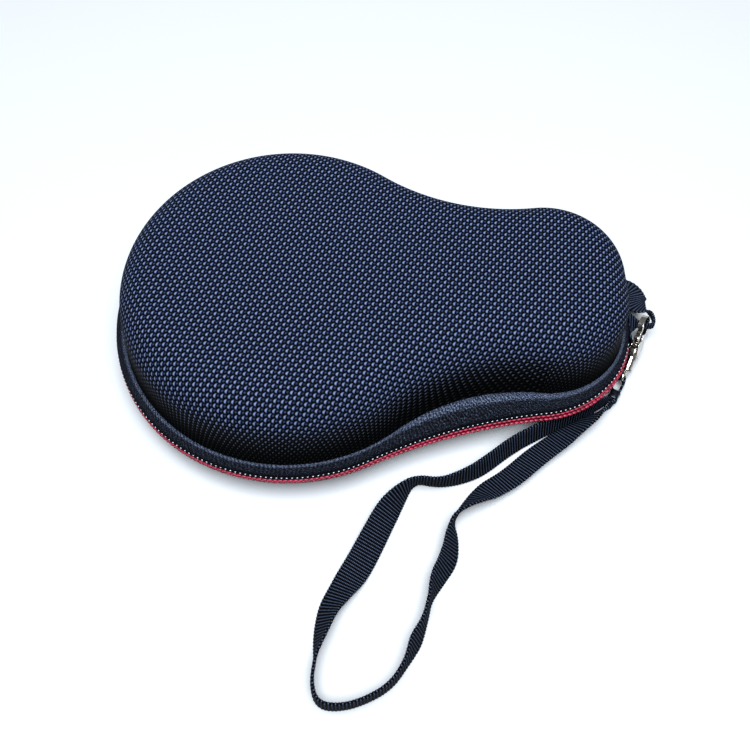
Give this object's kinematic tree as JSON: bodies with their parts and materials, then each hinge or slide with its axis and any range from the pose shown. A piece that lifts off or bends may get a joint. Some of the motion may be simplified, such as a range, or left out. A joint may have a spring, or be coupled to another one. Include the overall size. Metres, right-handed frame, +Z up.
{
  "type": "table tennis paddle case",
  "caption": "Moulded zip case shaped to a table-tennis bat, with carry loop, swivel clasp and wrist strap",
  "frame": {"origin": "on the flat underside, below the centre of the blade circle", "axes": "+X along the handle towards the hinge, +Z up through the lid"},
  "size_m": [0.3079, 0.3094, 0.071],
  "materials": {
    "ballistic_nylon": "coarse black ballistic nylon weave with a slight sheen",
    "eva_foam": "moulded closed-cell EVA foam",
    "lining_fabric": "smooth black knitted lining",
    "knitted_binding": "knitted edge binding",
    "inner_tape": "thin woven tape",
    "zipper_tape": "black polyester zipper tape",
    "red_coil": "red nylon coil",
    "coil_stitching": "black sewing row with pale glints",
    "stop_metal": "black painted stops",
    "hinge_fabric": "black fabric strip",
    "loop_webbing": "ribbed black webbing",
    "slider_metal": "dark gunmetal plating",
    "nickel": "bright nickel plating on zinc",
    "spring_steel": "bare spring wire",
    "strap_webbing": "black polyester webbing"
  },
  "bodies": {
    "case_base": {"lower_outer_fabric": "ballistic_nylon", "lower_foam_shell": "eva_foam", "lower_lining": "lining_fabric", "lower_edge_binding": "knitted_binding", "lower_inner_binding": "inner_tape", "lower_zipper_tape": "zipper_tape", "lower_coil": "red_coil", "lower_coil_stitching": "coil_stitching", "lower_end_stops": "stop_metal", "hinge_outer_strip": "hinge_fabric", "hinge_inner_strip": "hinge_fabric", "carry_loop": "loop_webbing", "swivel_eye": "nickel", "strap_eye_loop": "strap_webbing", "strap_crimp": "slider_metal", "wrist_strap": "strap_webbing"},
    "lid": {"upper_outer_fabric": "ballistic_nylon", "upper_foam_shell": "eva_foam", "upper_lining": "lining_fabric", "upper_edge_binding": "knitted_binding", "upper_inner_binding": "inner_tape", "upper_zipper_tape": "zipper_tape", "upper_coil": "red_coil", "upper_coil_stitching": "coil_stitching", "upper_end_stops": "stop_metal"},
    "slider": {"slider_body": "slider_metal"},
    "slider_pull": {"slider_pull": "slider_metal"},
    "clasp": {"clasp_hook": "nickel", "clasp_lever_pin": "nickel", "clasp_spring": "spring_steel"},
    "clasp_lever": {"clasp_lever": "nickel"}
  },
  "joints": [
    {"name": "lid_hinge", "type": "hinge", "parent": "case_base", "child": "lid", "pos_m": [0.1893, 0, 0.02], "axis": [0, 1, 0], "range_deg": [0, 100], "deforming": ["hinge_outer_strip", "hinge_inner_strip", "carry_loop"]},
    {"name": "slider_travel", "type": "hinge", "parent": "case_base", "child": "slider", "pos_m": [0.1325, 0.0057, 0.02], "axis": [0, 0, -1], "range_deg": [-53, 0], "deforming": ["upper_coil", "lower_coil"]},
    {"name": "pull_pivot", "type": "hinge", "parent": "slider", "child": "slider_pull", "pos_m": [0.18742, 0.03131, 0.02], "axis": [0, 0, -1], "range_deg": [0, 110]},
    {"name": "clasp_swing", "type": "hinge", "parent": "case_base", "child": "clasp", "pos_m": [0.1872, -0.033, 0.005], "axis": [0.4135, 0.873, 0.2585], "range_deg": [-25, 25], "deforming": ["carry_loop"]},
    {"name": "lever_pivot", "type": "hinge", "parent": "clasp", "child": "clasp_lever", "pos_m": [0.19514, -0.01406, 0.01344], "axis": [-0.8253, 0.4793, -0.2985], "range_deg": [0, 17], "stiffness_Nm_per_rad": 0.01, "springref_deg": -11.46, "deforming": ["clasp_spring"]}
  ]
}
